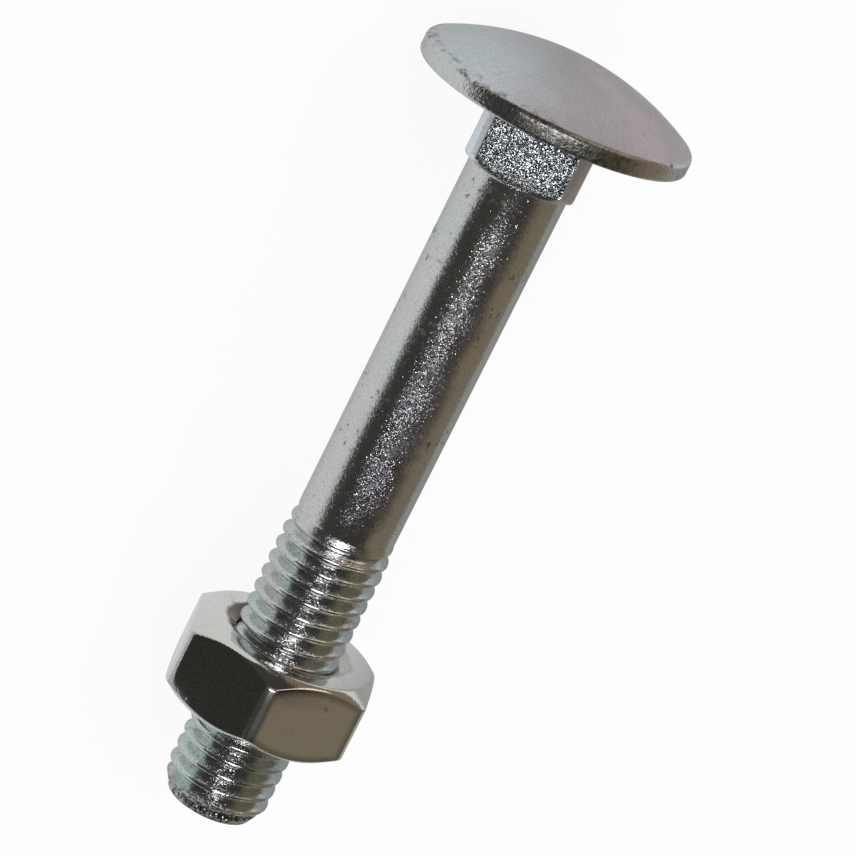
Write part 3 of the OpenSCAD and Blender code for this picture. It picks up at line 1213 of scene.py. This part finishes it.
def surround_material(stage):
    """Brown on one side and dark over the top and down the other side."""
    material, tree, shader = new_material("studio_surround")
    tree.nodes.remove(shader)
    out = tree.nodes["Material Output"]
    place = tree.nodes.new("ShaderNodeTexCoord").outputs["Object"]
    split = add_node(tree, "ShaderNodeSeparateXYZ", {"Vector": place}).outputs
    turn = maths(tree, "ARCTAN2", split["Z"], split["Y"])
    soft = noise(tree, place, per_metre=3.0, detail=2.0)
    turn = plus(tree, turn, times(tree, plus(tree, soft, -0.5), 0.12))
    dark = step_mask(tree, turn, math.radians(53), math.radians(68))
    shade = mix_colour(tree, dark, rgba(stage.board_colour), rgba(stage.room_colour))
    glow = add_node(tree, "ShaderNodeEmission", {"Color": shade, "Strength": 1.0})
    feed(tree, out, {"Surface": glow.outputs[0]})
    return material


def build_floor(stage, height):
    start_clean()
    bpy.ops.mesh.primitive_circle_add(
        vertices=96, radius=FLOOR_RADIUS, fill_type="NGON", location=(0, 0, height)
    )
    floor = bpy.context.object
    floor.name = "floor"
    floor.data.materials.append(floor_material(stage))


def build_surround(stage, height):
    """A dome that only the metal sees: brown on the +Y side, dark above and on the -Y side."""
    radius = stage.surround
    points = arc((0, 0), radius, 0.3, 90, 24)
    points[-1] = (0, radius)
    surround = spin_outline("surround", points)
    surround.location = (0, 0, height)
    surround.data.materials.append(surround_material(stage))
    surround.visible_camera = False
    surround.visible_diffuse = False
    surround.visible_transmission = False
    surround.visible_shadow = False


# Where the camera stands, and which way is right and up in its picture
CAMERA_PLACE = Vector((-57.0, -190.0, 285.5)) * MM
CAMERA_RIGHT = Vector((-0.40128, 0.81212, 0.4236))
CAMERA_UP = Vector((-0.88262, -0.2192, -0.41586))
CAMERA_BACK = CAMERA_RIGHT.cross(CAMERA_UP).normalized()
# Middle of the bolt, which the lamps face
MIDDLE = AXIS * 35 * MM
# The lamp hangs a little behind the camera and to one side, where its shine meets the coarse plate
LAMP_SIDE = Vector((0.035, 0.825, 0.565))
LAMP_PLACE = CAMERA_PLACE + CAMERA_BACK * 20 * MM + AXIS * 30 * MM + LAMP_SIDE * 55 * MM
WINDOW_DISTANCE = 800 * MM
WINDOW_SIZE = (690 * MM, 210 * MM)
WINDOW_TINT = (1.0, 0.85, 0.68)


def build_camera(stage):
    data = bpy.data.cameras.new("camera")
    camera = bpy.data.objects.new("camera", data)
    bpy.context.scene.collection.objects.link(camera)
    data.sensor_fit = "HORIZONTAL"
    data.angle = stage.view_angle
    data.clip_start, data.clip_end = 0.01, 20
    turned = Matrix((CAMERA_RIGHT, CAMERA_UP, CAMERA_BACK)).transposed()
    camera.matrix_world = Matrix.Translation(CAMERA_PLACE) @ turned.to_4x4()
    bpy.context.scene.camera = camera


def add_lamp(name, place, along, size, energy, tint=(1, 1, 1)):
    """A lamp that faces the middle of the bolt, seen only in the metal."""
    data = bpy.data.lights.new(name, "AREA")
    data.shape = "DISK" if size[0] == size[1] else "RECTANGLE"
    data.size = size[0]
    if data.shape == "RECTANGLE":
        data.size_y = size[1]
    data.energy = energy
    data.color = tint
    lamp = bpy.data.objects.new(name, data)
    bpy.context.scene.collection.objects.link(lamp)
    back = (place - MIDDLE).normalized()
    up = back.cross(along).normalized()
    turned = Matrix((up.cross(back), up, back)).transposed()
    lamp.matrix_world = Matrix.Translation(place) @ turned.to_4x4()
    lamp.visible_diffuse = False
    lamp.visible_camera = False


def direction(bearing, height):
    """The direction at that bearing from +X towards +Y and at that height, both in degrees."""
    flat = math.cos(math.radians(height))
    return Vector((
        flat * math.cos(math.radians(bearing)),
        flat * math.sin(math.radians(bearing)),
        math.sin(math.radians(height)),
    ))


def build_light(stage):
    """Even pale light from all round, a lamp round the camera and a warm window."""
    world = bpy.data.worlds.new("pale_world")
    world.use_nodes = True
    sky = world.node_tree.nodes["Background"]
    sky.inputs["Color"].default_value = (1, 1, 1, 1)
    sky.inputs["Strength"].default_value = 1.0
    bpy.context.scene.world = world
    add_lamp("lamp", LAMP_PLACE, AXIS, (stage.lamp_width, stage.lamp_width), stage.lamp_power)
    window_place = direction(160, 34) * WINDOW_DISTANCE
    window_along = direction(180, 40) - direction(116, 11)
    add_lamp(
        "window", window_place, window_along, WINDOW_SIZE, stage.window_power, WINDOW_TINT
    )


class BOLT_OT_make_bolt(bpy.types.Operator):
    """Model the bolt: domed head, square neck, shank and rolled thread"""

    bl_idname = "carriage.make_bolt"
    bl_label = "Make bolt"

    def execute(self, context):
        scene = context.scene
        bolt = build_bolt(scene.bolt_sizes)
        lay_down(bolt)
        finish = bolt_finish(scene.finish_colours, scene.bolt_sizes, shared_groups())
        dress(bolt, finish, "bolt", "bolt")
        return {"FINISHED"}


class BOLT_OT_make_nut(bpy.types.Operator):
    """Model the hex nut with its own thread"""

    bl_idname = "carriage.make_nut"
    bl_label = "Make nut"

    def execute(self, context):
        scene = context.scene
        nut = build_nut(scene.nut_sizes, scene.bolt_sizes)
        lay_down(nut)
        finish = nut_finish(scene.finish_colours, scene.nut_sizes, shared_groups())
        dress(nut, finish, "nut", "nut")
        return {"FINISHED"}


class BOLT_OT_make_stage(bpy.types.Operator):
    """Make the floor, the surround, the light and the camera"""

    bl_idname = "carriage.make_stage"
    bl_label = "Make stage"

    def execute(self, context):
        stage = context.scene.stage_settings
        build_floor(stage, cad_low.z)
        build_surround(stage, cad_low.z)
        build_light(stage)
        build_camera(stage)
        context.scene.view_settings.view_transform = "Standard"
        return {"FINISHED"}


class BOLT_PT_panel(bpy.types.Panel):
    """Lists the steps that make the bolt, its nut and the stage"""

    bl_idname = "BOLT_PT_panel"
    bl_label = "Carriage Bolt"
    bl_space_type = "VIEW_3D"
    bl_region_type = "UI"
    bl_category = "Carriage Bolt"

    def draw(self, context):
        for step in STEPS:
            self.layout.operator(step.bl_idname)
        for name in GROUPS:
            group = getattr(context.scene, name)
            box = self.layout.box()
            for key in group.bl_rna.properties.keys():
                if key not in ("rna_type", "name"):
                    box.prop(group, key)


GROUPS = {
    "bolt_sizes": BoltSizes,
    "nut_sizes": NutSizes,
    "finish_colours": FinishColours,
    "stage_settings": StageSettings,
}
STEPS = (BOLT_OT_make_stage, BOLT_OT_make_bolt, BOLT_OT_make_nut)


def register():
    for name, group in GROUPS.items():
        bpy.utils.register_class(group)
        setattr(bpy.types.Scene, name, bpy.props.PointerProperty(type=group))
    for step in STEPS:
        bpy.utils.register_class(step)
    bpy.utils.register_class(BOLT_PT_panel)


def unregister():
    bpy.utils.unregister_class(BOLT_PT_panel)
    for step in reversed(STEPS):
        bpy.utils.unregister_class(step)
    for name, group in reversed(GROUPS.items()):
        delattr(bpy.types.Scene, name)
        bpy.utils.unregister_class(group)


def main():
    register()
    bpy.ops.carriage.make_stage()
    bpy.ops.carriage.make_bolt()
    bpy.ops.carriage.make_nut()


if __name__ == "__main__":
    main()
